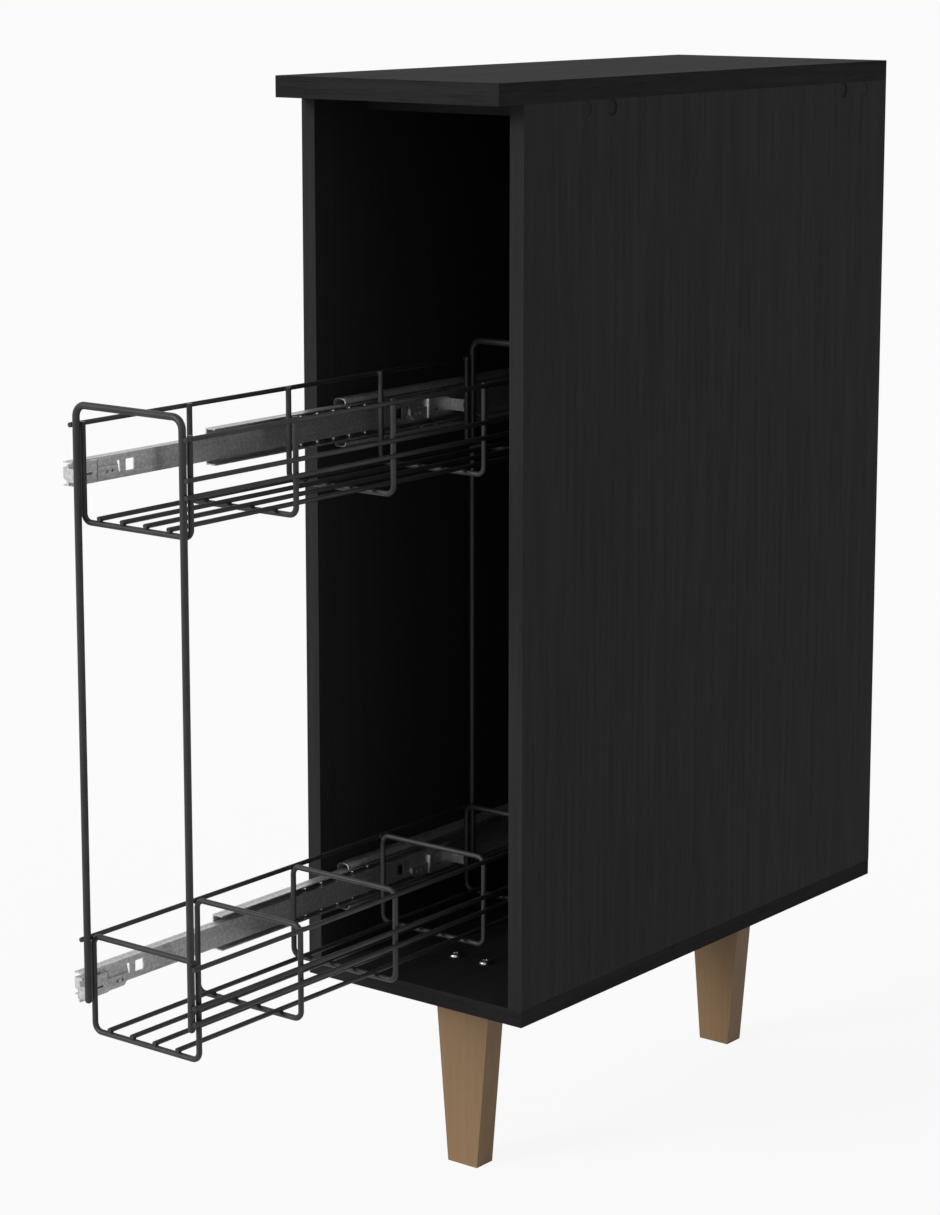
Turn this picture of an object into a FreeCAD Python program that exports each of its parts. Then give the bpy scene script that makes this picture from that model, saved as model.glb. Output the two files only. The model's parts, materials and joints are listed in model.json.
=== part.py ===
"""Narrow kitchen floor cabinet on two tapered legs, with a wire rack that pulls out on two
side-mounted ball-bearing slides.

Millimetres, +X to the right, +Y to the back, +Z up.  The origin is the centre of the front
leg's foot, on the floor.  The rack is drawn partly pulled out.
"""
import FreeCAD
import Part
import math
import os

# ---------------------------------------------------------------- driving dimensions
# carcass boards
CARCASS_WIDTH = 200.0
CARCASS_DEPTH = 478.0
CARCASS_HEIGHT = 656.0          # underside of the bottom board to underside of the worktop
SIDE_THICKNESS = 12.0
BOTTOM_THICKNESS = 12.5
WORKTOP_THICKNESS = 15.5
WORKTOP_OVERHANG = 28.0         # past the front edges of the side panels
BACK_THICKNESS = 3.0
BACK_INSET = 10.0               # rear edge of the carcass to the back panel
GROOVE_DEPTH = 5.0
BOARD_CLEARANCE = 0.1           # back panel in its grooves

# flat rails under the worktop
RAIL_THICKNESS = 12.0
RAIL_DEPTH = 55.0
FRONT_RAIL_SETBACK = 60.0
REAR_RAIL_SETBACK = 22.0
RAIL_SCREW_INSET = 12.0         # rail edge to screw centre

# legs
LEG_HEIGHT = 146.0
LEG_TOP_WIDTH = 53.0
LEG_FOOT_WIDTH = 27.5
LEG_THICKNESS = 19.0
LEG_SETBACK = 68.5              # front or rear edge of the side panels to the leg's centre
LEG_SCREW_SPACING = 28.0

# rack of welded wire
HOOP_DIAMETER = 4.0
RUNNER_DIAMETER = 3.4
FRAME_DIAMETER = 5.0
HOOP_BEND_RADIUS = 6.0          # to the wire's centre line
FRAME_BEND_RADIUS = 8.0
BASKET_WIDTH = 95.6             # between the centre lines of a hoop's uprights
BASKET_PAST_SLIDE = 6.8         # how much longer a basket is than its slide
HOOP_COUNT = 5
FLOOR_WIRE_COUNT = 4
FLOOR_WIRE_PITCH = 20.8
FLOOR_WIRE_SHIFT = -1.7         # middle of the floor wires from the middle of the basket
LOWER_FLOOR_HEIGHT = 39.6       # underside of the bottom board to the lower hoops' floor bars
BASKET_SPACING = 350.0
RIM_HEIGHT = 66.7               # all three are above a basket's floor bars
HIGH_RUNNER_HEIGHT = 38.6
LOW_RUNNER_HEIGHT = 27.6
FRAME_ABOVE_RIM = 12.0
FRAME_ABOVE_FLOOR = 20.8
FRAME_STEP = 6.4                # centre of the first or last hoop to the centre of its end frame
RUNNER_SHY = 0.5                # a side wire's end short of the end frame's outer side
WELD_BITE = 0.05                # how far welded wires sink into each other

# telescopic slides
SLIDE_LENGTH_STEP = 50.0        # slides come in whole steps of length
SLIDE_REAR_SPACE = 40.0         # least space from the slide's rear end to the back panel
SLIDE_HEIGHT = 36.0
SLIDE_WIDTH = 12.7
SLIDE_SHEET = 1.0
SLIDE_SETBACK = 18.6            # front edge of the side panel to the outer member
SLIDE_ABOVE_FLOOR = dict(lower=26.7, upper=28.8)        # a basket's floor bars to its slide's centre
OUTER_CORNER = 3.5              # rolled corners of the outer member
OUTER_LIP = 3.0                 # how far its flanges turn in over the middle member
MIDDLE_HEIGHT = 26.0
INNER_HEIGHT = 16.5
MIDDLE_STEP = 2.6               # panel face to the middle member's web
INNER_FLANGE = 8.1
RACE_DEPTH = 0.25
BALL_CLEARANCE = 0.05
CAGE_SHEET = 0.5
CAGE_LENGTH = 90.0
CAGE_GAP = 0.25                 # cage web to the web it runs along
BALLS_PER_ROW = 5
MOUTH_LENGTH = 6.0              # open front end of the inner member's web
BUMPER_LENGTH = 10.0            # stop pad in that mouth and behind the web
BUMPER_HEIGHT = 8.4
BUMPER_CORNER = 2.0
WINDOW_HEIGHT = 8.0
WINDOW_STEP = 0.4               # bracket's plate to the first window in the inner member's web
WINDOW_SLIT = 3.0               # that window at its top and at its bottom
WINDOW_SLIT_FOOT = 1.0
WINDOW_TONGUE = 5.3             # tongue between the two windows
WINDOW_LENGTH = 8.0             # second window

# brackets between slide and basket
BRACKET_REACH = 15.0            # slide's face to the outer side of a hoop's upright
BRACKET_SHEET = 1.5
BRACKET_PLATE_START = 22.0      # all along the slide, from the centre of the hoop
BRACKET_PAD_END = 28.9
BRACKET_HOLES_AT = 40.0
BRACKET_PLATE_END = 48.0
BRACKET_PAD_HEIGHT = 14.4
BRACKET_PAD_DEPTH = 3.0         # how far the pad stands out from the slide
BRACKET_PAD_ROUNDING = 2.7
BRACKET_PLATE_TOP = 1.2         # all above or below the middle of the pad
BRACKET_HOLE_DROP = 2.5
BRACKET_SLOT_DROP = 1.5
BRACKET_CORNER = 4.0
BRACKET_END_HEIGHT = 9.0
BRACKET_HOLE = 2.4
BRACKET_HOLE_PITCH = 5.1
BRACKET_SLOT_LENGTH = 7.0
BRACKET_SLOT_HEIGHT = 1.6
BRACKET_RISE = dict(lower=-2.9, upper=0.6)      # slide's centre line to the middle of the pad

# how far the rack is drawn out of the cabinet
RACK_OPENING = 280.6
HOOP_AHEAD = 6.0                # centre of the first hoop in front of the inner member

# screws and caps
PILOT_CLEARANCE = 0.05
SLIDE_SCREW = dict(shank=3.0, head=6.0, length=10.0)
SLIDE_SCREW_COUNT = 3
SLIDE_SCREW_INSET = 35.0
LEG_SCREW = dict(shank=4.5, head=9.5, length=45.0)
LEG_SCREW_HEAD_HEIGHT = 2.6
LEG_SCREW_HEAD_ROUNDING = 2.1
BOTTOM_SCREW = dict(shank=5.0, head=9.0, length=45.0)
BOTTOM_SCREW_COUNT = 3
BOTTOM_SCREW_INSET = 40.0
RAIL_SCREW = dict(shank=5.0, head=9.0, length=36.0)
WORKTOP_SCREW = dict(shank=3.5, head=7.0, length=23.0)
WORKTOP_SCREW_SPACING = 110.0
CAP_DIAMETER = 12.0
CAP_THICKNESS = 1.6
CAP_RECESS_OUTER = 0.3          # the cap nearer the cabinet's front or back edge
CAP_RECESS_INNER = 1.0

# ---------------------------------------------------------------- derived places
HALF_WIDTH = CARCASS_WIDTH / 2
PANEL_X = HALF_WIDTH - SIDE_THICKNESS           # inner face of the right panel
FRONT_Y = -LEG_SETBACK                          # front edges of the side panels
REAR_Y = FRONT_Y + CARCASS_DEPTH
BASE_Z = LEG_HEIGHT                             # underside of the bottom board
PANEL_Z = BASE_Z + BOTTOM_THICKNESS             # bottom edges of the side panels
TOP_Z = BASE_Z + CARCASS_HEIGHT                 # underside of the worktop
BACK_Y = REAR_Y - BACK_INSET                    # rear face of the back panel
FRONT_RAIL_Y = FRONT_Y + FRONT_RAIL_SETBACK
REAR_RAIL_Y = REAR_Y - REAR_RAIL_SETBACK - RAIL_DEPTH
RAIL_Z = TOP_Z - RAIL_THICKNESS
SLIDE_SPACE = CARCASS_DEPTH - BACK_INSET - BACK_THICKNESS - SLIDE_SETBACK - SLIDE_REAR_SPACE
SLIDE_LENGTH = SLIDE_LENGTH_STEP * math.floor(SLIDE_SPACE / SLIDE_LENGTH_STEP)

HOOP_RADIUS = HOOP_DIAMETER / 2
RUNNER_RADIUS = RUNNER_DIAMETER / 2
FRAME_RADIUS = FRAME_DIAMETER / 2
SLIDE_FACE_X = -PANEL_X + SLIDE_WIDTH
LEFT_POST_X = SLIDE_FACE_X + BRACKET_REACH + HOOP_RADIUS
RIGHT_POST_X = LEFT_POST_X + BASKET_WIDTH
SLIDE_FRONT_Y = FRONT_Y + SLIDE_SETBACK
FIRST_HOOP_Y = SLIDE_FRONT_Y - RACK_OPENING - HOOP_AHEAD
LAST_HOOP_Y = FIRST_HOOP_Y + SLIDE_LENGTH + BASKET_PAST_SLIDE
FLOOR_Z = dict(
    lower=BASE_Z + LOWER_FLOOR_HEIGHT,
    upper=BASE_Z + LOWER_FLOOR_HEIGHT + BASKET_SPACING,
)

# ---------------------------------------------------------------- helpers
X_AXIS = FreeCAD.Vector(1, 0, 0)
Y_AXIS = FreeCAD.Vector(0, 1, 0)
Z_AXIS = FreeCAD.Vector(0, 0, 1)
PARTS_FOLDER = "parts"
SNAP = 0.1                      # how near a place counts as that place


def save(name, *solids):
    """Write one node: a single solid, or a group of separate solids."""
    shape = solids[0] if len(solids) == 1 else Part.makeCompound(list(solids))
    shape.exportStep(os.path.join(PARTS_FOLDER, name + ".step"))


def block(low, high):
    """Box between two opposite corners."""
    size = [high[axis] - low[axis] for axis in range(3)]
    return Part.makeBox(size[0], size[1], size[2], FreeCAD.Vector(*low))


def rod(start, axis, diameter, length):
    """Cylinder from start along axis; a negative length runs the other way."""
    direction = axis if length > 0 else axis * -1
    return Part.makeCylinder(diameter / 2, abs(length), FreeCAD.Vector(*start), direction)


def cut_all(body, tools):
    """The body with every tool taken out."""
    for tool in tools:
        body = body.cut(tool)
    return body


def flat_screw(head_centre, into, size, grow=0.0):
    """Countersunk screw whose flat head is centred at head_centre and which runs along into.

    With grow it is the hole for that screw.
    """
    head_radius = size["head"] / 2 + grow
    shank_radius = size["shank"] / 2 + grow
    depth = head_radius - shank_radius
    centre = FreeCAD.Vector(*head_centre)
    head = Part.makeCone(head_radius, shank_radius, depth, centre, into)
    shank = Part.makeCylinder(shank_radius, size["length"] + grow, centre, into)
    return head.fuse(shank).removeSplitter()


def spread(low, high, count):
    """Evenly spaced places from low to high."""
    return [low + (high - low) * index / (count - 1) for index in range(count)]


def bent_wire(corners, bend_radius, diameter, closed=False):
    """Round wire whose centre line runs through the corners with equal bends."""
    points = [FreeCAD.Vector(*corner) for corner in corners]
    count = len(points)
    bends = range(count) if closed else range(1, count - 1)
    entry = list(points)
    leave = list(points)
    arcs = {}
    for index in bends:
        before = (points[index - 1] - points[index]).normalize()
        after = (points[(index + 1) % count] - points[index]).normalize()
        half_turn = before.getAngle(after) / 2
        setback = bend_radius / math.tan(half_turn)
        centre = points[index] + (before + after).normalize() * (bend_radius / math.sin(half_turn))
        middle = centre + (points[index] - centre).normalize() * bend_radius
        entry[index] = points[index] + before * setback
        leave[index] = points[index] + after * setback
        arcs[index] = Part.Arc(entry[index], middle, leave[index]).toShape()
    edges = []
    for index in range(count if closed else count - 1):
        following = (index + 1) % count
        edges.append(Part.LineSegment(leave[index], entry[following]).toShape())
        if following in arcs:
            edges.append(arcs[following])
    path = Part.Wire(edges)
    start_direction = entry[1] - leave[0]
    section = Part.Wire(Part.makeCircle(diameter / 2, leave[0], start_direction))
    return path.makePipeShell([section], True, False)


# ---------------------------------------------------------------- places that several pieces share
def side_signs():
    """-1 for the left side and +1 for the right."""
    return (-1, 1)


def rail_screw_places():
    """(y, cap recess) of each screw through a side panel into a rail."""
    front = FRONT_RAIL_Y + RAIL_SCREW_INSET
    rear = REAR_RAIL_Y + RAIL_SCREW_INSET
    spacing = RAIL_DEPTH - 2 * RAIL_SCREW_INSET
    return [
        (front, CAP_RECESS_OUTER),
        (front + spacing, CAP_RECESS_INNER),
        (rear, CAP_RECESS_INNER),
        (rear + spacing, CAP_RECESS_OUTER),
    ]


def rail_screws(sign, grow=0.0):
    """Screws through one side panel, below the caps; with grow, their holes."""
    screws = []
    for y, recess in rail_screw_places():
        head_x = sign * (HALF_WIDTH - recess - CAP_THICKNESS)
        centre = (head_x, y, TOP_Z - RAIL_THICKNESS / 2)
        screws.append(flat_screw(centre, X_AXIS * -sign, RAIL_SCREW, grow))
    return screws


def caps(sign):
    """Round press-in caps that hide the rail screws of one side panel."""
    made = []
    for y, recess in rail_screw_places():
        start = (sign * (HALF_WIDTH - recess), y, TOP_Z - RAIL_THICKNESS / 2)
        made.append(rod(start, X_AXIS, CAP_DIAMETER - 2 * PILOT_CLEARANCE, -sign * CAP_THICKNESS))
    return made


def cap_pockets(sign):
    """Round pockets in a side panel's outer face, open to the outside."""
    pockets = []
    for y, recess in rail_screw_places():
        start = (sign * HALF_WIDTH, y, TOP_Z - RAIL_THICKNESS / 2)
        pockets.append(rod(start, X_AXIS, CAP_DIAMETER, -sign * (recess + CAP_THICKNESS)))
    return pockets


def bottom_screws(grow=0.0):
    """Screws up through the bottom board into the side panels' edges."""
    screws = []
    for sign in side_signs():
        for y in spread(FRONT_Y + BOTTOM_SCREW_INSET, REAR_Y - BOTTOM_SCREW_INSET, BOTTOM_SCREW_COUNT):
            centre = (sign * (HALF_WIDTH - SIDE_THICKNESS / 2), y, BASE_Z)
            screws.append(flat_screw(centre, Z_AXIS, BOTTOM_SCREW, grow))
    return screws


def worktop_screws(grow=0.0):
    """Screws up through the rails into the worktop."""
    screws = []
    for rail_y in (FRONT_RAIL_Y, REAR_RAIL_Y):
        for sign in side_signs():
            centre = (sign * WORKTOP_SCREW_SPACING / 2, rail_y + RAIL_DEPTH / 2, RAIL_Z)
            screws.append(flat_screw(centre, Z_AXIS, WORKTOP_SCREW, grow))
    return screws


def leg_places():
    """Y of the centre of each leg."""
    return dict(front=0.0, rear=CARCASS_DEPTH - 2 * LEG_SETBACK)


def leg_screw_shanks(y, grow=0.0):
    """Shanks of the two screws that run down through the bottom board into a leg."""
    shanks = []
    for sign in side_signs():
        start = (sign * LEG_SCREW_SPACING / 2, y, PANEL_Z)
        shanks.append(rod(start, Z_AXIS, LEG_SCREW["shank"] + 2 * grow, -(LEG_SCREW["length"] + grow)))
    return shanks


def slide_z(level):
    """Height of the centre line of the slide that carries the upper or lower basket."""
    return FLOOR_Z[level] + SLIDE_ABOVE_FLOOR[level]


def slide_screws(level, grow=0.0):
    """Countersunk screws through a slide's outer member into the left panel."""
    screws = []
    low = SLIDE_FRONT_Y + SLIDE_SCREW_INSET
    high = SLIDE_FRONT_Y + SLIDE_LENGTH - SLIDE_SCREW_INSET
    for y in spread(low, high, SLIDE_SCREW_COUNT):
        centre = (-PANEL_X + SLIDE_SHEET, y, slide_z(level))
        screws.append(flat_screw(centre, X_AXIS * -1, SLIDE_SCREW, grow))
    return screws


# ---------------------------------------------------------------- carcass
def side_panel(sign):
    """Side panel, standing on the bottom board."""
    inner, outer = sorted((sign * PANEL_X, sign * HALF_WIDTH))
    panel = block((inner, FRONT_Y, PANEL_Z), (outer, REAR_Y, TOP_Z))
    groove_x = sorted((sign * PANEL_X, sign * (PANEL_X + GROOVE_DEPTH)))
    groove = block((groove_x[0], BACK_Y - BACK_THICKNESS, PANEL_Z), (groove_x[1], BACK_Y, TOP_Z))
    tools = [groove]
    tools += cap_pockets(sign)
    tools += rail_screws(sign, PILOT_CLEARANCE)
    tools += bottom_screws(PILOT_CLEARANCE)
    if sign < 0:
        for level in FLOOR_Z:
            tools += slide_screws(level, PILOT_CLEARANCE)
    return cut_all(panel, tools)


def bottom_board():
    """Board under both side panels."""
    board = block((-HALF_WIDTH, FRONT_Y, BASE_Z), (HALF_WIDTH, REAR_Y, PANEL_Z))
    groove_low = (-PANEL_X - GROOVE_DEPTH, BACK_Y - BACK_THICKNESS, PANEL_Z - GROOVE_DEPTH)
    groove = block(groove_low, (PANEL_X + GROOVE_DEPTH, BACK_Y, PANEL_Z))
    tools = [groove]
    tools += bottom_screws(PILOT_CLEARANCE)
    for y in leg_places().values():
        tools += leg_screw_shanks(y, PILOT_CLEARANCE)
    return cut_all(board, tools)


def worktop():
    """Worktop over the whole carcass, flush at the back."""
    low = (-HALF_WIDTH, FRONT_Y - WORKTOP_OVERHANG, TOP_Z)
    board = block(low, (HALF_WIDTH, REAR_Y, TOP_Z + WORKTOP_THICKNESS))
    return cut_all(board, worktop_screws(PILOT_CLEARANCE))


def back_panel():
    """Thin board held in the grooves of the side panels and the bottom board."""
    reach = PANEL_X + GROOVE_DEPTH - BOARD_CLEARANCE
    low = (-reach, BACK_Y - BACK_THICKNESS + BOARD_CLEARANCE, PANEL_Z - GROOVE_DEPTH + BOARD_CLEARANCE)
    return block(low, (reach, BACK_Y - BOARD_CLEARANCE, TOP_Z - BOARD_CLEARANCE))


def top_rail(front_y):
    """Flat rail between the side panels, right under the worktop."""
    rail = block((-PANEL_X, front_y, RAIL_Z), (PANEL_X, front_y + RAIL_DEPTH, TOP_Z))
    tools = worktop_screws(PILOT_CLEARANCE)
    for sign in side_signs():
        tools += rail_screws(sign, PILOT_CLEARANCE)
    return cut_all(rail, tools)


def leg(y):
    """Flat leg that tapers to its foot on both sides."""
    half_top = LEG_TOP_WIDTH / 2
    half_foot = LEG_FOOT_WIDTH / 2
    outline = [(-half_foot, 0.0), (half_foot, 0.0), (half_top, BASE_Z), (-half_top, BASE_Z)]
    corners = [FreeCAD.Vector(x, y - LEG_THICKNESS / 2, z) for x, z in outline + outline[:1]]
    blank = Part.Face(Part.makePolygon(corners)).extrude(Y_AXIS * LEG_THICKNESS)
    return cut_all(blank, leg_screw_shanks(y, PILOT_CLEARANCE))


def leg_screws():
    """Round-headed screws, two to a leg, driven from inside the cabinet."""
    screws = []
    for y in leg_places().values():
        for sign, shank in zip(side_signs(), leg_screw_shanks(y)):
            centre = (sign * LEG_SCREW_SPACING / 2, y, PANEL_Z)
            head = rod(centre, Z_AXIS, LEG_SCREW["head"], LEG_SCREW_HEAD_HEIGHT)
            rims = [edge for edge in head.Edges if edge.BoundBox.ZMin > PANEL_Z]
            head = head.makeFillet(LEG_SCREW_HEAD_ROUNDING, rims)
            screws.append(head.fuse(shank).removeSplitter())
    return screws


# ---------------------------------------------------------------- slides
OUTER_HALF = SLIDE_HEIGHT / 2
MIDDLE_HALF = MIDDLE_HEIGHT / 2
INNER_HALF = INNER_HEIGHT / 2
OUTER_INSIDE = OUTER_HALF - SLIDE_SHEET
MIDDLE_INSIDE = MIDDLE_HALF - SLIDE_SHEET
OUTER_ROW = (OUTER_INSIDE + MIDDLE_HALF) / 2    # ball centre lines above and below the slide's own
INNER_ROW = (MIDDLE_INSIDE + INNER_HALF) / 2
OUTER_RACE = (OUTER_INSIDE - MIDDLE_HALF) / 2 + RACE_DEPTH
INNER_RACE = (MIDDLE_INSIDE - INNER_HALF) / 2 + RACE_DEPTH
OUTER_ROW_X = -PANEL_X + SLIDE_WIDTH / 2
INNER_ROW_X = SLIDE_FACE_X - INNER_FLANGE / 2 - SLIDE_SHEET / 2
OUTER_MEMBER_Y = SLIDE_FRONT_Y
MIDDLE_MEMBER_Y = SLIDE_FRONT_Y - RACK_OPENING / 2
INNER_MEMBER_Y = SLIDE_FRONT_Y - RACK_OPENING
# the cages roll at half the speed difference of the members on either side of them
OUTER_CAGE_Y = SLIDE_FRONT_Y + SLIDE_LENGTH / 2 - CAGE_LENGTH / 2 - RACK_OPENING / 4
INNER_CAGE_Y = SLIDE_FRONT_Y + SLIDE_LENGTH / 2 - CAGE_LENGTH / 2 - RACK_OPENING * 3 / 4


def channel(web_x, flange_end_x, half_height, sheet, y, length, z):
    """C-shaped strip along Y: a web in the plane web_x and two flanges from it to flange_end_x."""
    web_side = web_x + math.copysign(sheet, flange_end_x - web_x)
    web_low, web_high = sorted((web_x, web_side))
    low, high = sorted((web_x, flange_end_x))
    web = block((web_low, y, z - half_height), (web_high, y + length, z + half_height))
    top = block((low, y, z + half_height - sheet), (high, y + length, z + half_height))
    bottom = block((low, y, z - half_height), (high, y + length, z - half_height + sheet))
    return web.fuse([top, bottom]).removeSplitter()


def races(x, row, radius, y, length, z):
    """Rods that cut the upper and lower ball races of a member."""
    return [rod((x, y, z + side * row), Y_AXIS, 2 * radius, length) for side in (-1, 1)]


def along_y(shape):
    """The straight edges of a box that run along Y."""
    return [edge for edge in shape.Edges if edge.BoundBox.YLength > SLIDE_LENGTH / 2]


def outer_member(level):
    """Cabinet member, rolled round both ball races and screwed to the left panel."""
    z = slide_z(level)
    y = OUTER_MEMBER_Y
    end_x = SLIDE_FACE_X - SLIDE_SHEET
    tube = block((-PANEL_X, y, z - OUTER_HALF), (end_x, y + SLIDE_LENGTH, z + OUTER_HALF))
    tube = tube.makeFillet(OUTER_CORNER, along_y(tube))
    hollow_low = (-PANEL_X + SLIDE_SHEET, y, z - OUTER_INSIDE)
    hollow = block(hollow_low, (end_x - SLIDE_SHEET, y + SLIDE_LENGTH, z + OUTER_INSIDE))
    hollow = hollow.makeFillet(OUTER_CORNER - SLIDE_SHEET, along_y(hollow))
    half_mouth = OUTER_INSIDE - OUTER_LIP
    mouth_low = (end_x - 2 * SLIDE_SHEET, y, z - half_mouth)
    mouth = block(mouth_low, (end_x, y + SLIDE_LENGTH, z + half_mouth))
    tools = [hollow, mouth]
    tools += races(OUTER_ROW_X, OUTER_ROW, OUTER_RACE, y, SLIDE_LENGTH, z)
    tools += slide_screws(level, PILOT_CLEARANCE)
    return cut_all(tube, tools)


def middle_member(level):
    """Member between the outer and the inner one; it moves half as far as the rack."""
    z = slide_z(level)
    y = MIDDLE_MEMBER_Y
    end_x = SLIDE_FACE_X - SLIDE_SHEET
    body = channel(-PANEL_X + MIDDLE_STEP, end_x, MIDDLE_HALF, SLIDE_SHEET, y, SLIDE_LENGTH, z)
    tools = races(OUTER_ROW_X, OUTER_ROW, OUTER_RACE, y, SLIDE_LENGTH, z)
    tools += races(INNER_ROW_X, INNER_ROW, INNER_RACE, y, SLIDE_LENGTH, z)
    return cut_all(body, tools)


def inner_member(level):
    """Member that carries the rack: its web faces the rack, and its front end is open."""
    z = slide_z(level)
    y = INNER_MEMBER_Y
    body = channel(SLIDE_FACE_X, SLIDE_FACE_X - INNER_FLANGE, INNER_HALF, SLIDE_SHEET, y, SLIDE_LENGTH, z)
    tools = races(INNER_ROW_X, INNER_ROW, INNER_RACE, y, SLIDE_LENGTH, z)
    inside = INNER_HALF - SLIDE_SHEET
    mouth_low = (SLIDE_FACE_X - SLIDE_SHEET, y, z - inside)
    tools.append(block(mouth_low, (SLIDE_FACE_X, y + MOUTH_LENGTH, z + inside)))
    for hoop_y, direction in ((FIRST_HOOP_Y, 1), (LAST_HOOP_Y, -1)):
        tools += windows(hoop_y, direction, z)
    return cut_all(body, tools)


def windows(hoop_y, direction, z):
    """Tapered slit and larger window through an inner member's web, just beyond a bracket."""
    half = WINDOW_HEIGHT / 2
    slit = BRACKET_PLATE_END + WINDOW_STEP
    tongue = slit + WINDOW_SLIT
    foot = tongue - WINDOW_SLIT_FOOT
    second = tongue + WINDOW_TONGUE
    end = second + WINDOW_LENGTH
    outlines = [
        [(slit, half), (tongue, half), (tongue, -half), (foot, -half)],
        [(second, half), (end, half), (end, -half), (second, -half)],
    ]
    start_x = SLIDE_FACE_X - SLIDE_SHEET
    cutters = []
    for outline in outlines:
        places = outline + outline[:1]
        corners = [FreeCAD.Vector(start_x, hoop_y + direction * run, z + up) for run, up in places]
        cutters.append(Part.Face(Part.makePolygon(corners)).extrude(X_AXIS * SLIDE_SHEET))
    return cutters


def bumper(level):
    """Stop pad between the flanges of the inner member, against the inside of its web."""
    z = slide_z(level)
    low_x = SLIDE_FACE_X - INNER_FLANGE
    low = (low_x, INNER_MEMBER_Y, z - BUMPER_HEIGHT / 2)
    high = (SLIDE_FACE_X - SLIDE_SHEET, INNER_MEMBER_Y + BUMPER_LENGTH, z + BUMPER_HEIGHT / 2)
    pad = block(low, high)
    lower_left = []
    for edge in pad.Edges:
        box = edge.BoundBox
        if box.YLength > BUMPER_LENGTH / 2 and box.XMax < low_x + BUMPER_CORNER and box.ZMax < z:
            lower_left.append(edge)
    return pad.makeFillet(BUMPER_CORNER, lower_left)


def ball_cage(web_x, end_x, row, row_x, ball_radius, y, z):
    """Thin C-shaped cage with a hole for each ball, and its balls."""
    half = row + CAGE_SHEET / 2
    cage = channel(web_x, end_x, half, CAGE_SHEET, y, CAGE_LENGTH, z)
    pitch = CAGE_LENGTH / BALLS_PER_ROW
    places = [y + pitch * (index + 0.5) for index in range(BALLS_PER_ROW)]
    holes = []
    balls = []
    for place in places:
        hole = rod((row_x, place, z - half), Z_AXIS, 2 * (ball_radius + BALL_CLEARANCE), 2 * half)
        holes.append(hole)
        for side in (-1, 1):
            balls.append(Part.makeSphere(ball_radius, FreeCAD.Vector(row_x, place, z + side * row)))
    return cut_all(cage, holes), balls


def outer_cage(level):
    """Cage and balls between the outer and the middle member."""
    web_x = -PANEL_X + SLIDE_SHEET + CAGE_GAP
    end_x = OUTER_ROW_X + OUTER_RACE + CAGE_SHEET
    radius = OUTER_RACE - BALL_CLEARANCE
    return ball_cage(web_x, end_x, OUTER_ROW, OUTER_ROW_X, radius, OUTER_CAGE_Y, slide_z(level))


def inner_cage(level):
    """Cage and balls between the middle and the inner member."""
    web_x = -PANEL_X + MIDDLE_STEP + SLIDE_SHEET + CAGE_GAP
    end_x = INNER_ROW_X + INNER_RACE + CAGE_SHEET
    radius = INNER_RACE - BALL_CLEARANCE
    return ball_cage(web_x, end_x, INNER_ROW, INNER_ROW_X, radius, INNER_CAGE_Y, slide_z(level))


# ---------------------------------------------------------------- brackets
def is_at(edge, x, y):
    """True for an edge along Z that stands at x, y."""
    box = edge.BoundBox
    upright = box.ZLength > max(box.XLength, box.YLength)
    return upright and abs(box.Center.x - x) < SNAP and abs(box.Center.y - y) < SNAP


def bracket(level, hoop_y, direction):
    """Bracket between a slide's inner member and a hoop's left upright.

    A plate with two holes lies on the slide, a rounded pad steps out from it, and an arm with a
    slot runs on to an end plate across the slide, which is welded to the upright.  direction is
    +1 when the plate lies behind the hoop and -1 when it lies in front of it.
    """
    z = slide_z(level) + BRACKET_RISE[level]
    face_x = SLIDE_FACE_X
    arm_x = face_x + BRACKET_PAD_DEPTH
    arm_low_x = arm_x - BRACKET_SHEET
    half = BRACKET_PAD_HEIGHT / 2

    def between(near, far):
        return sorted((hoop_y + direction * near, hoop_y + direction * far))

    rear = BRACKET_PLATE_END
    outline = [
        (BRACKET_PLATE_START, BRACKET_PLATE_TOP),
        (rear, BRACKET_PLATE_TOP),
        (rear, BRACKET_CORNER - half),
        (rear - BRACKET_CORNER, -half),
        (BRACKET_PLATE_START, -half),
    ]
    places = outline + outline[:1]
    corners = [FreeCAD.Vector(face_x, hoop_y + direction * run, z + up) for run, up in places]
    plate = Part.Face(Part.makePolygon(corners)).extrude(X_AXIS * BRACKET_SHEET)

    pad_y = between(BRACKET_PLATE_START, BRACKET_PAD_END)
    pad = block((face_x, pad_y[0], z - half), (arm_x, pad_y[1], z + half))
    step_y = hoop_y + direction * BRACKET_PAD_END
    pad = pad.makeFillet(BRACKET_PAD_ROUNDING, [edge for edge in pad.Edges if is_at(edge, arm_x, step_y)])

    arm_y = between(0.0, BRACKET_PLATE_START)
    arm = block((arm_low_x, arm_y[0], z - half), (arm_x, arm_y[1], z + half))
    slot_y = between(BRACKET_PLATE_START - BRACKET_SLOT_LENGTH, BRACKET_PLATE_START)
    slot_z = z - BRACKET_SLOT_DROP - BRACKET_SLOT_HEIGHT / 2
    slot = block((arm_low_x, slot_y[0], slot_z), (arm_x, slot_y[1], slot_z + BRACKET_SLOT_HEIGHT))

    end_half = BRACKET_END_HEIGHT / 2
    end_y = between(-BRACKET_SHEET / 2, BRACKET_SHEET / 2)
    end_x = face_x + BRACKET_REACH + WELD_BITE
    end = block((arm_low_x, end_y[0], z - end_half), (end_x, end_y[1], z + end_half))

    holes = []
    for side in (-1, 1):
        hole_y = hoop_y + direction * (BRACKET_HOLES_AT + side * BRACKET_HOLE_PITCH / 2)
        place = (face_x, hole_y, z - BRACKET_HOLE_DROP)
        holes.append(rod(place, X_AXIS, BRACKET_HOLE, BRACKET_SHEET))
    whole = plate.fuse([pad, arm, end]).removeSplitter()
    return cut_all(whole, holes + [slot])


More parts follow.
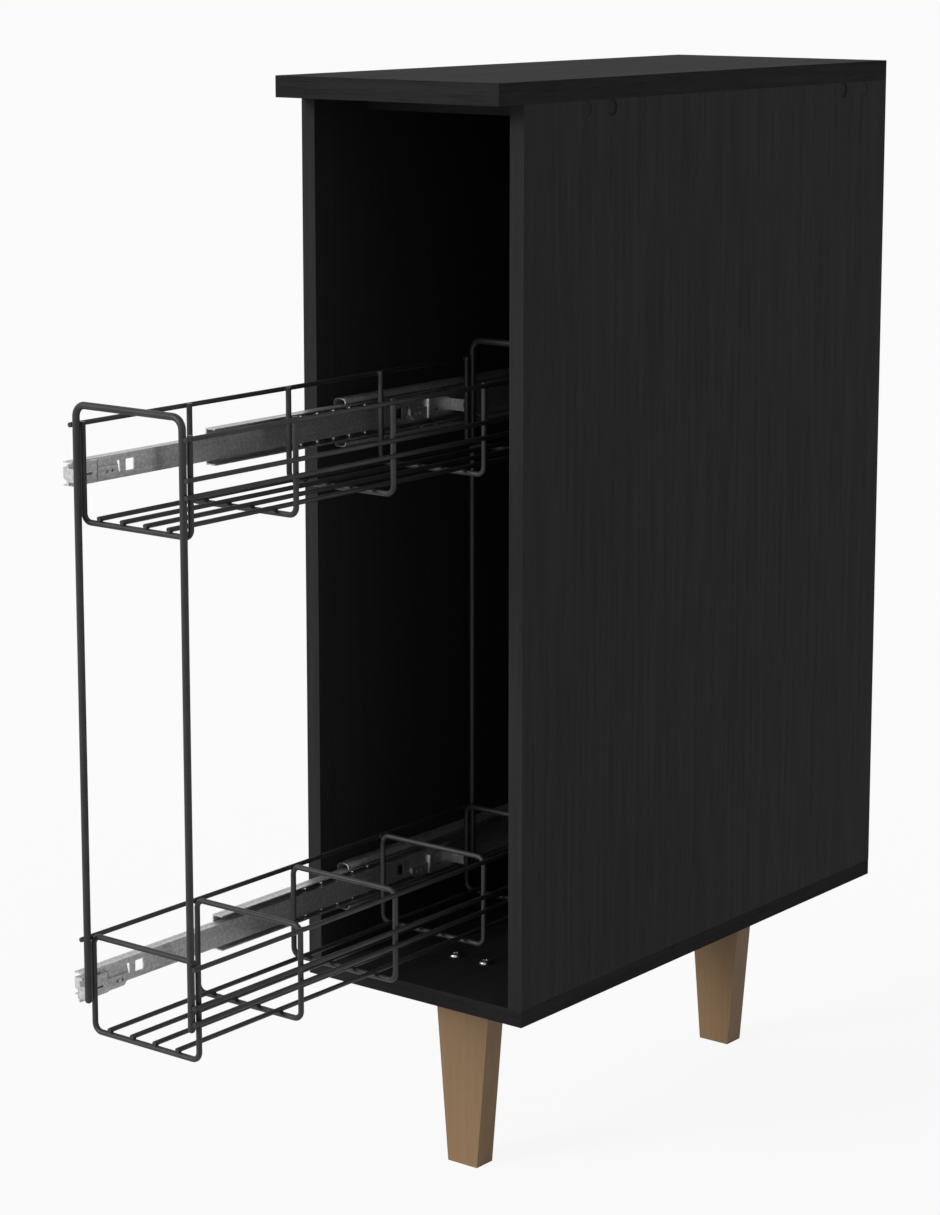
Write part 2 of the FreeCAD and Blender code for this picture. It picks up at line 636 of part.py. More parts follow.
# ---------------------------------------------------------------- rack wires
def hoop(level, y):
    """Cross wire of a basket: open at the top in the upper one, closed in the lower one."""
    floor_z = FLOOR_Z[level]
    rim_z = floor_z + RIM_HEIGHT
    corners = [
        (LEFT_POST_X, y, rim_z),
        (LEFT_POST_X, y, floor_z),
        (RIGHT_POST_X, y, floor_z),
        (RIGHT_POST_X, y, rim_z),
    ]
    return bent_wire(corners, HOOP_BEND_RADIUS, HOOP_DIAMETER, closed=(level == "lower"))


def runner(x, z, overhang):
    """Straight wire along a basket, overhang past the centres of its first and last hoop."""
    length = LAST_HOOP_Y - FIRST_HOOP_Y + 2 * overhang
    return rod((x, FIRST_HOOP_Y - overhang, z), Y_AXIS, RUNNER_DIAMETER, length)


def side_runners(level):
    """Name and wire of each wire along a basket's sides; they also carry the end frames."""
    floor_z = FLOOR_Z[level]
    offset = HOOP_RADIUS + RUNNER_RADIUS - WELD_BITE
    overhang = FRAME_STEP + FRAME_RADIUS - RUNNER_SHY
    left_x = LEFT_POST_X - offset
    right_x = RIGHT_POST_X + offset
    rim_z = floor_z + RIM_HEIGHT - RUNNER_RADIUS
    return {
        level + "_left_rim_wire": runner(left_x, rim_z, overhang),
        level + "_right_rim_wire": runner(right_x, rim_z, overhang),
        level + "_right_high_wire": runner(right_x, floor_z + HIGH_RUNNER_HEIGHT, overhang),
        level + "_right_low_wire": runner(right_x, floor_z + LOW_RUNNER_HEIGHT, overhang),
    }


def floor_wires(level):
    """Straight wires on top of the hoops' floor bars."""
    z = FLOOR_Z[level] + HOOP_RADIUS + RUNNER_RADIUS - WELD_BITE
    middle = (LEFT_POST_X + RIGHT_POST_X) / 2 + FLOOR_WIRE_SHIFT
    half_span = FLOOR_WIRE_PITCH * (FLOOR_WIRE_COUNT - 1) / 2
    places = spread(middle - half_span, middle + half_span, FLOOR_WIRE_COUNT)
    return [runner(x, z, HOOP_RADIUS) for x in places]


def end_frame(y):
    """Upside-down U of thicker wire with rounded feet, welded between the side wires of both baskets."""
    foot_z = FLOOR_Z["lower"] + FRAME_ABOVE_FLOOR + FRAME_RADIUS
    top_z = FLOOR_Z["upper"] + RIM_HEIGHT + FRAME_ABOVE_RIM
    left_x = LEFT_POST_X - HOOP_RADIUS + FRAME_RADIUS
    right_x = RIGHT_POST_X + HOOP_RADIUS - FRAME_RADIUS
    corners = [(left_x, y, foot_z), (left_x, y, top_z), (right_x, y, top_z), (right_x, y, foot_z)]
    wire = bent_wire(corners, FRAME_BEND_RADIUS, FRAME_DIAMETER)
    ends = [Part.makeSphere(FRAME_RADIUS, FreeCAD.Vector(*corner)) for corner in (corners[0], corners[3])]
    return wire.fuse(ends).removeSplitter()


# ---------------------------------------------------------------- build
def build_carcass():
    save("left_side_panel", side_panel(-1))
    save("right_side_panel", side_panel(1))
    save("bottom_board", bottom_board())
    save("worktop", worktop())
    save("back_panel", back_panel())
    save("front_top_rail", top_rail(FRONT_RAIL_Y))
    save("rear_top_rail", top_rail(REAR_RAIL_Y))
    for name, y in leg_places().items():
        save(name + "_leg", leg(y))
    save("leg_screws", *leg_screws())
    save("bottom_board_screws", *bottom_screws())
    save("worktop_screws", *worktop_screws())
    save("rail_screws", *(rail_screws(-1) + rail_screws(1)))
    save("screw_caps", *(caps(-1) + caps(1)))


def build_slides():
    for level in FLOOR_Z:
        save(level + "_slide_outer_member", outer_member(level))
        save(level + "_slide_middle_member", middle_member(level))
        save(level + "_slide_inner_member", inner_member(level))
        for place, maker in (("outer", outer_cage), ("inner", inner_cage)):
            cage, balls = maker(level)
            save("%s_slide_%s_cage" % (level, place), cage)
            save("%s_slide_%s_balls" % (level, place), *balls)
    save("slide_screws", *(slide_screws("lower") + slide_screws("upper")))
    save("slide_bumpers", bumper("lower"), bumper("upper"))


def build_rack():
    save("front_frame", end_frame(FIRST_HOOP_Y - FRAME_STEP))
    save("rear_frame", end_frame(LAST_HOOP_Y + FRAME_STEP))
    for level in FLOOR_Z:
        save(level + "_front_bracket", bracket(level, FIRST_HOOP_Y, 1))
        save(level + "_rear_bracket", bracket(level, LAST_HOOP_Y, -1))
        save(level + "_floor_wires", *floor_wires(level))
        for name, wire in side_runners(level).items():
            save(name, wire)
        for index, y in enumerate(spread(FIRST_HOOP_Y, LAST_HOOP_Y, HOOP_COUNT)):
            save("%s_hoop_%d" % (level, index + 1), hoop(level, y))


os.makedirs(PARTS_FOLDER, exist_ok=True)
build_carcass()
build_slides()
build_rack()
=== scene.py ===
import json
import math
import random

import bmesh
import bpy
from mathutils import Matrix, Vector, noise

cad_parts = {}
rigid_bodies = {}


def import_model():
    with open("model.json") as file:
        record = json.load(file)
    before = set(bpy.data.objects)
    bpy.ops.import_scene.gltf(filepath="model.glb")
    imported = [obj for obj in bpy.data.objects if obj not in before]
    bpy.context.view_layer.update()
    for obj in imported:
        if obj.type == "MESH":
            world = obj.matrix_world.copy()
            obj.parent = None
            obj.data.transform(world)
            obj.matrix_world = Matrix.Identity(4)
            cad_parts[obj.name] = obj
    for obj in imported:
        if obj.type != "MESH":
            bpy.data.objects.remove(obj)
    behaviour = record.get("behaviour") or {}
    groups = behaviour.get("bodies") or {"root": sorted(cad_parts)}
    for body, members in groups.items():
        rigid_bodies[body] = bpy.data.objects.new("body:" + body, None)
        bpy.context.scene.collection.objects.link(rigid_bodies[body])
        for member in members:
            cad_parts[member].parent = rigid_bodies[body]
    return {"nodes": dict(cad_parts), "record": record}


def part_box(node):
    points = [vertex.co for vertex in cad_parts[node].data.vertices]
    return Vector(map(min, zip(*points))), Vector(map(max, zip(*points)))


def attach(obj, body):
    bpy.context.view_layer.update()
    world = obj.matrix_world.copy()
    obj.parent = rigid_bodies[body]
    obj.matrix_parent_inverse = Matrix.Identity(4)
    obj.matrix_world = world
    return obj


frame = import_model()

MM = 0.001
SAME_POINT = 0.001 * MM          # vertices this near are one

# camera at the photograph's viewing angle
CAMERA_PLACE = (1.3908, -1.7754, 0.9144)
CAMERA_YAW = 38.078
CAMERA_DIP = 9.937
CAMERA_LENS = 92.92
CAMERA_SHIFT = -0.1
CAMERA_SENSOR = 36.0
LEVEL_VIEW = 90.0               # tilt at which a camera looks level

# plain studio light
WORLD_LEVEL = 0.42
WHITE = (1.0, 1.0, 1.0, 1.0)
SUN_STRENGTH = 2.2
SUN_SIZE = 24.0
SUN_FROM = (-0.45, -1.0, 0.45)
FLOOR_SIZE = 120.0
FLOOR_COLOUR = (0.9, 0.9, 0.9, 1.0)
FLOOR_GLOW = 0.9                # share of the floor that is plain white to the camera

nodes = frame["nodes"]
slot_of = {row["node"]: row["material_slot"] for row in frame["record"]["subparts"]}

for spare in [o for o in bpy.data.objects if o.name in ("Cube", "Light", "Camera")]:
    bpy.data.objects.remove(spare)
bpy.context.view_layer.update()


def new_object(name, data):
    made = bpy.data.objects.new(name, data)
    bpy.context.scene.collection.objects.link(made)
    return made


def object_from(name, bm):
    """A new object with the bmesh as its mesh; the bmesh is used up."""
    mesh = bpy.data.meshes.new(name)
    bm.to_mesh(mesh)
    bm.free()
    return new_object(name, mesh)


# ---------------------------------------------------------------- node helpers
class Tree:
    """A material's nodes, with short calls to add and join them."""

    def __init__(self, name):
        self.material = bpy.data.materials.new(name)
        self.material.use_nodes = True
        self.tree = self.material.node_tree
        self.shader = self.tree.nodes["Principled BSDF"]

    def add(self, kind, **values):
        node = self.tree.nodes.new(kind)
        for key, value in values.items():
            setattr(node, key, value)
        return node

    def join(self, output, target):
        self.tree.links.new(output, target)

    def math(self, operation, first, second):
        node = self.add("ShaderNodeMath", operation=operation)
        for socket, value in zip(node.inputs, (first, second)):
            if isinstance(value, (int, float)):
                socket.default_value = value
            else:
                self.join(value, socket)
        return node.outputs[0]

    def mixed(self, first, second, share):
        """A share of the first and the rest of the second."""
        most = self.math("MULTIPLY", first, share)
        rest = self.math("MULTIPLY", second, round(1.0 - share, 6))
        return self.math("ADD", most, rest)

    def place(self):
        """The object's own coordinates, in metres."""
        return self.add("ShaderNodeTexCoord").outputs["Object"]

    def scaled(self, vector, scale):
        node = self.add("ShaderNodeVectorMath", operation="MULTIPLY")
        self.join(vector, node.inputs[0])
        node.inputs[1].default_value = scale
        return node.outputs[0]

    def noise(self, vector, detail=3.0, rough=0.55, warp=0.0):
        node = self.add("ShaderNodeTexNoise")
        node.inputs["Scale"].default_value = 1.0
        node.inputs["Detail"].default_value = detail
        node.inputs["Roughness"].default_value = rough
        node.inputs["Distortion"].default_value = warp
        self.join(vector, node.inputs["Vector"])
        return node.outputs["Fac"]

    def ramp(self, factor, stops):
        """Colours or greys at places from 0 to 1."""
        node = self.add("ShaderNodeValToRGB")
        ramp = node.color_ramp
        while len(ramp.elements) < len(stops):
            ramp.elements.new(0.5)
        for element, (at, colour) in zip(ramp.elements, stops):
            element.position = at
            element.color = colour if isinstance(colour, tuple) else (colour, colour, colour, 1.0)
        self.join(factor, node.inputs["Fac"])
        return node.outputs["Color"]

    def spread(self, factor, low, high):
        """From low to high over the middle of a noise's range."""
        return self.ramp(factor, list(zip(NOISE_MIDDLE, (low, high))))

    def multiply(self, first, second):
        """Two colours, multiplied."""
        node = self.add("ShaderNodeMix", data_type="RGBA", blend_type="MULTIPLY")
        factor, a, b = [s for s in node.inputs if s.name in ("Factor", "A", "B") and s.enabled]
        factor.default_value = 1.0
        self.join(first, a)
        self.join(second, b)
        return [s for s in node.outputs if s.enabled][0]

    def bump(self, height, depth, strength):
        """Bump of a real depth in metres."""
        node = self.add("ShaderNodeBump")
        node.inputs["Distance"].default_value = depth
        node.inputs["Strength"].default_value = strength
        self.join(height, node.inputs["Height"])
        self.join(node.outputs["Normal"], self.shader.inputs["Normal"])

    def colour(self, output):
        self.join(output, self.shader.inputs["Base Color"])

    def roughness(self, output):
        self.join(output, self.shader.inputs["Roughness"])

    def fixed(self, **values):
        """Values that are the same all over the surface."""
        for key, value in values.items():
            self.shader.inputs[key.replace("_", " ")].default_value = value


# finishes: noise scales per metre, relief in metres, ramps as (place, level) from 0 to 1
NOISE_MIDDLE = (0.3, 0.7)       # where most of a noise's range lies
FILM = {
    "streaks": (210.0, 7.0), "pores": (1300.0, 38.0), "clouds": (9.0, 9.0, 4.0),
    "streak_share": 0.7, "streak_relief": 0.4, "relief": 0.00014, "strength": 0.5,
    "tone": (0.25, 0.80), "pore_tone": [(0.32, 0.62), (0.44, 1.0)],
    "roughness": (0.90, 0.80), "end_limit": 0.5,
}
BACK = {
    "fibre": (420.0, 420.0, 160.0), "low": 0.009, "high": 0.015, "warm": 0.04, "span": (0.35, 0.65),
    "roughness": (0.75, 0.62), "relief": 0.00010, "strength": 0.4, "shine": 0.14,
}
LEG = {
    "grain": (330.0, 330.0, 7.0), "pores": (1500.0, 1500.0, 55.0), "clouds": (16.0, 16.0, 9.0),
    "stain": [
        (0.28, (0.222, 0.141, 0.077, 1.0)),
        (0.50, (0.242, 0.155, 0.085, 1.0)),
        (0.75, (0.256, 0.165, 0.091, 1.0)),
    ],
    "tone": (0.95, 1.03), "specks": [(0.30, 0.88), (0.42, 1.0)],
    "roughness": (0.48, 0.38), "grain_relief": 0.5,
    "relief": 0.00012, "strength": 0.45, "shine": 0.12,
}
COAT = {
    "peel": 1700.0, "patch": 60.0, "low": 0.016, "high": 0.026, "cool": -0.03,
    "roughness": (0.50, 0.38), "relief": 0.00006, "strength": 0.6, "shine": 0.32,
}
ZINC = {
    "across": 1500.0, "along": 14.0, "crystals": 420.0, "rubbed": (45.0, 22.0, 45.0),
    # dark and light: spread of the base colour over the drawing lines and mottle, partly real
    # plating and partly painted reflection, the reflected surroundings put in as streaks
    "line_share": 0.5, "crystal_share": 0.35, "dark": 0.68, "light": 1.16, "span": (0.25, 0.60),
    "duller": 0.08, "shinier": 0.06, "relief": 0.00003, "strength": 0.5,
}
MOULDED = {
    "texture": 2600.0, "patch": 120.0, "spread": 0.05, "relief": 0.00004, "strength": 0.5,
}
BALL = {
    "film": 500.0, "low": 0.60, "high": 0.74, "warm": 0.03,
    "roughness": (0.10, 0.22),
}


def every_way(scale):
    return (scale, scale, scale)


def grey(level, warm=0.0):
    return (level * (1.0 + warm), level, level * (1.0 - warm), 1.0)


# ---------------------------------------------------------------- materials
def laminate(name, grain_axis, low, high, shine):
    """Matt black woodgrain film: pores and streaks run along grain_axis, across on board ends."""
    t = Tree(name)
    place = t.place()

    def stretched(fine, coarse):
        main = [fine, fine, fine]
        main[grain_axis] = coarse
        ends = [coarse, fine, fine] if grain_axis != 0 else [fine, coarse, fine]
        along = t.scaled(place, main)
        across = t.scaled(place, ends)
        facing = t.add("ShaderNodeSeparateXYZ")
        t.join(t.add("ShaderNodeTexCoord").outputs["Normal"], facing.inputs[0])
        level = t.math("ABSOLUTE", facing.outputs[grain_axis], 0.0)
        is_end = t.math("GREATER_THAN", level, FILM["end_limit"])
        mix = t.add("ShaderNodeMix", data_type="VECTOR")
        t.join(is_end, mix.inputs["Factor"])
        picks = [s for s in mix.inputs if s.enabled and s.name in ("A", "B")]
        t.join(along, picks[0])
        t.join(across, picks[1])
        return [s for s in mix.outputs if s.enabled][0]

    streaks = t.noise(stretched(*FILM["streaks"]), detail=4.0, rough=0.6, warp=0.4)
    pores = t.noise(stretched(*FILM["pores"]), detail=2.0, rough=0.5)
    clouds = t.noise(t.scaled(place, FILM["clouds"]), detail=2.0)
    tone = t.mixed(streaks, clouds, FILM["streak_share"])
    body = t.ramp(tone, list(zip(FILM["tone"], (grey(low), grey(high)))))
    dark = t.ramp(pores, FILM["pore_tone"])
    t.colour(t.multiply(body, dark))
    t.roughness(t.spread(streaks, *FILM["roughness"]))
    t.bump(t.mixed(streaks, pores, FILM["streak_relief"]), FILM["relief"], FILM["strength"])
    t.fixed(Specular_IOR_Level=shine)
    return t.material


def back_board():
    """Thin painted fibreboard: smooth, with a faint fibrous mottle."""
    t = Tree("back_board")
    place = t.place()
    fibre = t.noise(t.scaled(place, BACK["fibre"]), detail=4.0, rough=0.7, warp=0.8)
    dark, light = grey(BACK["low"]), grey(BACK["high"], BACK["warm"])
    t.colour(t.ramp(fibre, list(zip(BACK["span"], (dark, light)))))
    t.roughness(t.spread(fibre, *BACK["roughness"]))
    t.bump(fibre, BACK["relief"], BACK["strength"])
    t.fixed(Specular_IOR_Level=BACK["shine"])
    return t.material


def brown_leg():
    """Satin brown stain over fine straight-grained wood."""
    t = Tree("brown_leg")
    place = t.place()
    grain = t.noise(t.scaled(place, LEG["grain"]), detail=5.0, rough=0.62, warp=0.6)
    pores = t.noise(t.scaled(place, LEG["pores"]), detail=2.0)
    clouds = t.noise(t.scaled(place, LEG["clouds"]), detail=2.0)
    stain = t.ramp(grain, LEG["stain"])
    tone = t.spread(clouds, *LEG["tone"])
    specks = t.ramp(pores, LEG["specks"])
    t.colour(t.multiply(t.multiply(stain, tone), specks))
    t.roughness(t.spread(grain, *LEG["roughness"]))
    t.bump(t.mixed(grain, pores, LEG["grain_relief"]), LEG["relief"], LEG["strength"])
    t.fixed(Specular_IOR_Level=LEG["shine"])
    return t.material


def powder_coat():
    """Black powder coat on wire: fine orange peel, a little duller in patches."""
    t = Tree("black_wire")
    place = t.place()
    peel = t.noise(t.scaled(place, every_way(COAT["peel"])), detail=2.0, rough=0.5)
    patch = t.noise(t.scaled(place, every_way(COAT["patch"])), detail=3.0)
    t.colour(t.spread(patch, grey(COAT["low"]), grey(COAT["high"], COAT["cool"])))
    t.roughness(t.spread(patch, *COAT["roughness"]))
    t.bump(peel, COAT["relief"], COAT["strength"])
    t.fixed(Specular_IOR_Level=COAT["shine"])
    return t.material


def zinc(name, level, rough, grain_axis=1, yellow=0.0, metal=1.0):
    """Rolled, zinc-plated sheet: faint drawing lines and soft crystal mottle, their wide spread of
    greys partly real plating and partly painted reflection; rubbed patches.
    """
    t = Tree(name)
    place = t.place()
    scale = [ZINC["across"]] * 3
    scale[grain_axis] = ZINC["along"]
    lines = t.noise(t.scaled(place, scale), detail=3.0, rough=0.6)
    crystals = t.add("ShaderNodeTexVoronoi", feature="F1")
    crystals.inputs["Scale"].default_value = ZINC["crystals"]
    t.join(place, crystals.inputs["Vector"])
    rubbed = t.noise(t.scaled(place, ZINC["rubbed"]), detail=3.0)
    drawn = t.math("MULTIPLY", lines, ZINC["line_share"])
    mottle = t.math("MULTIPLY", crystals.outputs["Distance"], ZINC["crystal_share"])
    dark, light = grey(level * ZINC["dark"], yellow), grey(level * ZINC["light"], yellow)
    t.colour(t.ramp(t.math("ADD", drawn, mottle), list(zip(ZINC["span"], (dark, light)))))
    t.roughness(t.spread(rubbed, rough + ZINC["duller"], rough - ZINC["shinier"]))
    t.bump(lines, ZINC["relief"], ZINC["strength"])
    t.fixed(Metallic=metal)
    return t.material


def moulded(name, low, high, rough, shine=0.3):
    """Matt moulded plastic with a fine spark-eroded texture."""
    t = Tree(name)
    place = t.place()
    texture = t.noise(t.scaled(place, every_way(MOULDED["texture"])), detail=2.0)
    patch = t.noise(t.scaled(place, every_way(MOULDED["patch"])), detail=2.0)
    t.colour(t.spread(patch, grey(low), grey(high)))
    spread = MOULDED["spread"]
    t.roughness(t.spread(patch, rough + spread, rough - spread))
    t.bump(texture, MOULDED["relief"], MOULDED["strength"])
    t.fixed(Specular_IOR_Level=shine)
    return t.material


def bearing_steel():
    """Polished balls with a faint film of grease."""
    t = Tree("bearing_ball")
    film = t.noise(t.scaled(t.place(), every_way(BALL["film"])), detail=2.0)
    t.colour(t.spread(film, grey(BALL["low"]), grey(BALL["high"], BALL["warm"])))
    t.roughness(t.spread(film, *BALL["roughness"]))
    t.fixed(Metallic=1.0)
    return t.material


laminates = {
    "upright": laminate("black_laminate_upright", 2, low=0.0095, high=0.0145, shine=0.25),
    # the lying copy's lighter greys are painted light: the brighter look of the lit top faces, put
    # into the base colour of the same black film
    "lying_painted_lighter": laminate("black_laminate_lying", 1, low=0.0145, high=0.0215, shine=0.06),
    "rail": laminate("black_laminate_rail", 0, low=0.0095, high=0.0145, shine=0.25),
}
finishes = {
    "back_board": back_board(),
    "brown_leg": brown_leg(),
    "black_wire": powder_coat(),
    "galvanised_slide": zinc("galvanised_slide", level=0.50, rough=0.40, metal=0.8),
    "ball_cage": zinc("ball_cage", level=0.55, rough=0.32, yellow=0.03),
    "bearing_ball": bearing_steel(),
    "zinc_screw": zinc("zinc_screw", level=0.66, rough=0.26, grain_axis=2),
    "grey_bumper": moulded("grey_bumper", low=0.48, high=0.58, rough=0.50),
    "black_cap": moulded("black_cap", low=0.015, high=0.019, rough=0.80, shine=0.13),
}
grain_of = {
    "left_side_panel": "upright",
    "right_side_panel": "upright",
    # worktop and bottom board take the copy with the painted lighter greys
    "bottom_board": "lying_painted_lighter",
    "worktop": "lying_painted_lighter",
    "front_top_rail": "rail",
    "rear_top_rail": "rail",
}
for name, node in nodes.items():
    finish = laminates[grain_of[name]] if name in grain_of else finishes[slot_of[name]]
    for material_slot in node.material_slots:
        material_slot.material = finish


# ---------------------------------------------------------------- rims of the CAD nodes
ROUNDING = {                    # rounding of outer edges, mm, and its steps
    "black_laminate": (0.45, 3),
    "back_board": (0.2, 2),
    "brown_leg": (1.2, 4),
    "galvanised_slide": (0.16, 2),
    "ball_cage": (0.08, 1),
    "grey_bumper": (0.4, 3),
    "black_cap": (0.3, 3),
}
WIRE_ROUNDING = (0.5, 3)        # cut ends of straight wires
SHARP = math.radians(50)


def weld(node):
    modifier = node.modifiers.new("weld", "WELD")
    modifier.merge_threshold = SAME_POINT


def soften(node, width, steps):
    """Small rounding of the sharp edges, as a modifier."""
    weld(node)
    modifier = node.modifiers.new("rounding", "BEVEL")
    modifier.width = width * MM
    modifier.segments = steps
    modifier.limit_method = "ANGLE"
    modifier.angle_limit = SHARP
    modifier.harden_normals = True
    modifier.use_clamp_overlap = True


for name, node in nodes.items():
    kind = slot_of[name]
    if kind in ROUNDING:
        soften(node, *ROUNDING[kind])
    elif kind == "black_wire" and "hoop" not in name and "frame" not in name:
        soften(node, *WIRE_ROUNDING)


# ---------------------------------------------------------------- screw recesses
RECESS_SPAN = 0.47              # width of the cross, share of the head's width
RECESS_SLOT = 0.13              # width of its slots, share of the head's width
RECESS_DEPTH = 1.4              # mm
RECESS_TAPER = 0.5              # size of its bottom, share of the cross
RECESS_ABOVE = 0.3              # how far the tool stands out of the head, mm
RECESS_FLARE = 1.05             # size of the tool there, share of the cross


def islands(name):
    """(lowest corner, highest corner) of each separate solid in a node."""
    bm = bmesh.new()
    bm.from_mesh(nodes[name].data)
    bmesh.ops.remove_doubles(bm, verts=bm.verts, dist=SAME_POINT)
    left = set(bm.verts)
    found = []
    while left:
        group = set()
        edge = [left.pop()]
        while edge:
            vert = edge.pop()
            group.add(vert)
            for link in vert.link_edges:
                other = link.other_vert(vert)
                if other in left:
                    left.discard(other)
                    edge.append(other)
        places = [v.co for v in group]
        low = Vector([min(p[axis] for p in places) for axis in range(3)])
        high = Vector([max(p[axis] for p in places) for axis in range(3)])
        found.append((low, high))
    bm.free()
    return sorted(found, key=lambda pair: tuple(pair[0]))


def cross_recess(name, facing):
    """Sinks a tapered cross recess into each screw head of a node; facing is +1 up or -1 down."""
    bm = bmesh.new()
    for low, high in islands(name):
        width = high.x - low.x
        s, w = width * RECESS_SPAN / 2, width * RECESS_SLOT / 2
        outline = [(w, s), (w, w), (s, w), (s, -w), (w, -w), (w, -s)]
        outline += [(-x, -y) for x, y in outline]
        top = high.z if facing > 0 else low.z
        rings = []
        for offset, scale in ((RECESS_ABOVE, RECESS_FLARE), (-RECESS_DEPTH, RECESS_TAPER)):
            z = top + facing * offset * MM
            centre = (low + high) / 2
            rings.append([
                bm.verts.new((centre.x + x * scale, centre.y + y * scale, z)) for x, y in outline
            ])
        count = len(outline)
        for index in range(count):
            after = (index + 1) % count
            bm.faces.new((rings[0][index], rings[0][after], rings[1][after], rings[1][index]))
        bm.faces.new(rings[0])
        bm.faces.new(rings[1])
    bmesh.ops.recalc_face_normals(bm, faces=bm.faces)
    tool = object_from(name + "_recess_tool", bm)
    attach(tool, "cabinet")
    tool.hide_render = True
    weld(nodes[name])
    modifier = nodes[name].modifiers.new("recess", "BOOLEAN")
    modifier.operation = "DIFFERENCE"
    modifier.solver = "EXACT"
    modifier.object = tool


cross_recess("leg_screws", 1)
cross_recess("bottom_board_screws", -1)
cross_recess("worktop_screws", -1)


# ---------------------------------------------------------------- weld beads on the rack
BEAD_FLAT = 0.8                 # half size from wire to wire, mm
BEAD_FLOOR = 1.6875             # half size along the wires at a floor wire, mm
BEAD_SIDE = 1.625               # at a side wire
BEAD_BRACKET = 1.5              # at a bracket, level
BEAD_BRACKET_HIGH = 4.2         # at a bracket, upright
BEAD_ROUGH = 0.14               # unevenness, share of its radius
BEAD_LUMPS = 1.6                # lumps across a bead
BEAD_VARIETY = 50               # range of the places that the unevenness is taken from
BEAD_STEPS = 2
LEVELS = ("lower", "upper")
HOOPS = 5
FLOOR_WIRES = 4
random.seed(7)


def add_bead(bm, centre, size):
    """A slightly uneven lens of weld metal, size mm from its centre along each axis."""
    made = bmesh.ops.create_icosphere(bm, subdivisions=BEAD_STEPS, radius=1.0)
    seed = Vector([random.uniform(0, BEAD_VARIETY) for axis in range(3)])
    for vert in made["verts"]:
        swell = 1.0 + BEAD_ROUGH * noise.noise(vert.co * BEAD_LUMPS + seed)
        vert.co = Vector([
            centre[axis] + vert.co[axis] * swell * size[axis] * MM for axis in range(3)
        ])


def middle(name):
    low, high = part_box(name)
    return (low + high) / 2


def hoop_places(level):
    return [middle("%s_hoop_%d" % (level, number + 1)).y for number in range(HOOPS)]


def weld_beads(level):
    """One mesh with the beads of a basket: floor wires, side wires, end frames and brackets."""
    bm = bmesh.new()
    wires = level + "_floor_wires"
    low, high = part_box(wires)
    radius = (high.z - low.z) / 2
    step = (high.x - low.x - 2 * radius) / (FLOOR_WIRES - 1)
    for y in hoop_places(level):
        for index in range(FLOOR_WIRES):
            centre = Vector((low.x + radius + index * step, y, low.z))
            add_bead(bm, centre, (BEAD_FLOOR, BEAD_FLOOR, BEAD_FLAT))
    frames = [middle("front_frame").y, middle("rear_frame").y]
    for side, runs in ((-1, ("left_rim",)), (1, ("right_rim", "right_high", "right_low"))):
        for run in runs:
            start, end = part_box("%s_%s_wire" % (level, run))
            touch = start.x if side > 0 else end.x
            for y in hoop_places(level) + frames:
                centre = Vector((touch, y, (start.z + end.z) / 2))
                add_bead(bm, centre, (BEAD_FLAT, BEAD_SIDE, BEAD_SIDE))
    for place, hoop in (("front", 1), ("rear", HOOPS)):
        start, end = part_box("%s_%s_bracket" % (level, place))
        y = middle("%s_hoop_%d" % (level, hoop)).y
        centre = Vector((end.x, y, (start.z + end.z) / 2))
        add_bead(bm, centre, (BEAD_FLAT, BEAD_BRACKET, BEAD_BRACKET_HIGH))
    for face in bm.faces:
        face.smooth = True
    beads = object_from(level + "_weld_beads", bm)
    beads.data.materials.append(finishes["black_wire"])
    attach(beads, "rack")


for level in LEVELS:
    weld_beads(level)


# ---------------------------------------------------------------- floor, light and camera
def add_to(tree, kind, **inputs):
    """A node in a floor or world tree, with values for its named inputs."""
    node = tree.nodes.new(kind)
    for key, value in inputs.items():
        node.inputs[key].default_value = value
    return node


def mix_seen(tree, factor, unseen, seen, output_kind):
    """Shows one shader to rays seen straight and the other to all the rest."""
    mix = add_to(tree, "ShaderNodeMixShader")
    for socket, source in zip(mix.inputs, (factor, unseen.outputs[0], seen.outputs[0])):
        tree.links.new(source, socket)
    tree.links.new(mix.outputs[0], add_to(tree, output_kind).inputs["Surface"])


def seen_straight(tree):
    """1 for rays from the camera or from glossy or clear surfaces, 0 for light on things."""
    path = tree.nodes.new("ShaderNodeLightPath")
    total = path.outputs["Is Camera Ray"]
    for name in ("Is Glossy Ray", "Is Transmission Ray"):
        node = tree.nodes.new("ShaderNodeMath")
        node.operation = "MAXIMUM"
        tree.links.new(total, node.inputs[0])
        tree.links.new(path.outputs[name], node.inputs[1])
        total = node.outputs[0]
    return total


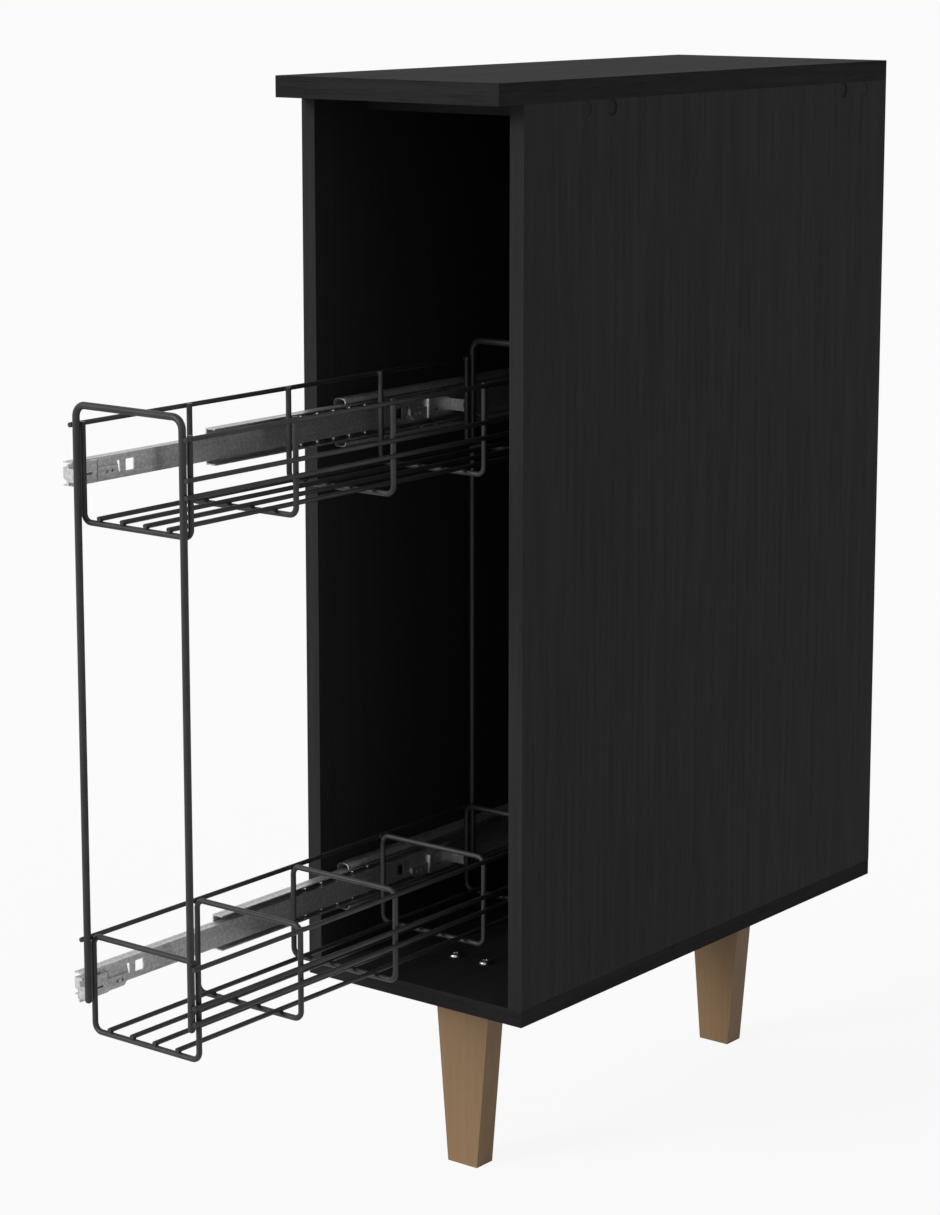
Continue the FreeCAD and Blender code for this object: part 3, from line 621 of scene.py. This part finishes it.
def make_floor():
    mesh = bpy.data.meshes.new("floor")
    half = FLOOR_SIZE / 2
    corners = [(-half, -half, 0.0), (half, -half, 0.0), (half, half, 0.0), (-half, half, 0.0)]
    mesh.from_pydata(corners, [], [(0, 1, 2, 3)])
    floor = new_object("floor", mesh)
    material = bpy.data.materials.new("floor")
    material.use_nodes = True
    tree = material.node_tree
    tree.nodes.clear()
    matt = add_to(tree, "ShaderNodeBsdfDiffuse", Color=FLOOR_COLOUR)
    glow = add_to(tree, "ShaderNodeEmission", Color=WHITE)
    share = tree.nodes.new("ShaderNodeMath")
    share.operation = "MULTIPLY"
    share.inputs[1].default_value = FLOOR_GLOW
    tree.links.new(seen_straight(tree), share.inputs[0])
    mix_seen(tree, share.outputs[0], matt, glow, "ShaderNodeOutputMaterial")
    mesh.materials.append(material)


def light_world():
    world = bpy.data.worlds.new("studio")
    bpy.context.scene.world = world
    world.use_nodes = True
    tree = world.node_tree
    tree.nodes.clear()
    light = add_to(tree, "ShaderNodeBackground", Color=WHITE, Strength=WORLD_LEVEL)
    white = add_to(tree, "ShaderNodeBackground", Color=WHITE, Strength=1.0)
    mix_seen(tree, seen_straight(tree), light, white, "ShaderNodeOutputWorld")


def make_sun():
    data = bpy.data.lights.new("key", "SUN")
    data.energy = SUN_STRENGTH
    data.angle = math.radians(SUN_SIZE)
    sun = new_object("key", data)
    sun.rotation_mode = "QUATERNION"
    sun.rotation_quaternion = Vector(SUN_FROM).to_track_quat("Z", "Y")


def make_camera():
    data = bpy.data.cameras.new("camera")
    data.lens = CAMERA_LENS
    data.sensor_width = CAMERA_SENSOR
    data.shift_y = CAMERA_SHIFT
    camera = new_object("camera", data)
    camera.location = CAMERA_PLACE
    camera.rotation_euler = (math.radians(LEVEL_VIEW - CAMERA_DIP), 0.0, math.radians(CAMERA_YAW))
    bpy.context.scene.camera = camera


make_floor()
light_world()
make_sun()
make_camera()
bpy.context.scene.view_settings.view_transform = "Standard"

bpy.context.view_layer.update()
